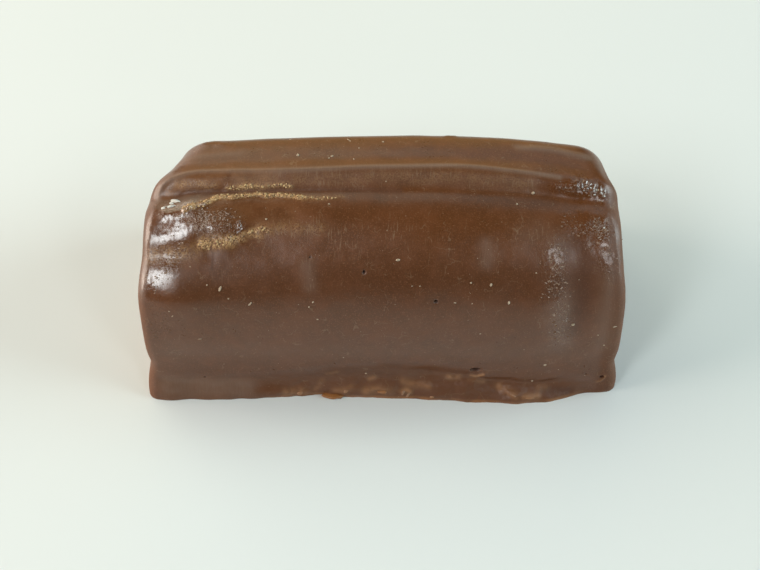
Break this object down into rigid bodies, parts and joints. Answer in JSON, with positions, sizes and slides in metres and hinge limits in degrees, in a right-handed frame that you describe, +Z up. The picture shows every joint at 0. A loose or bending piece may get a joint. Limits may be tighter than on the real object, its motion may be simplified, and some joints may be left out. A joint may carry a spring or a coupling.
{
  "type": "praline chocolate",
  "caption": "Log-shaped milk chocolate praline with a half-round back, a raised double ridge along the top and a ragged foot where it rests.",
  "frame": {"origin": "centre of the flat base, at the bottom of the bounding box", "axes": "+X along the log, the pictured side faces -Y, +Z up from the tray"},
  "size_m": [0.0412, 0.0234, 0.0187],
  "materials": {
    "milk_chocolate": "satin milk chocolate, with glossier leathery patches at the ends and a dull ragged foot"
  },
  "bodies": {
    "root": {"praline": "milk_chocolate"}
  },
  "joints": []
}
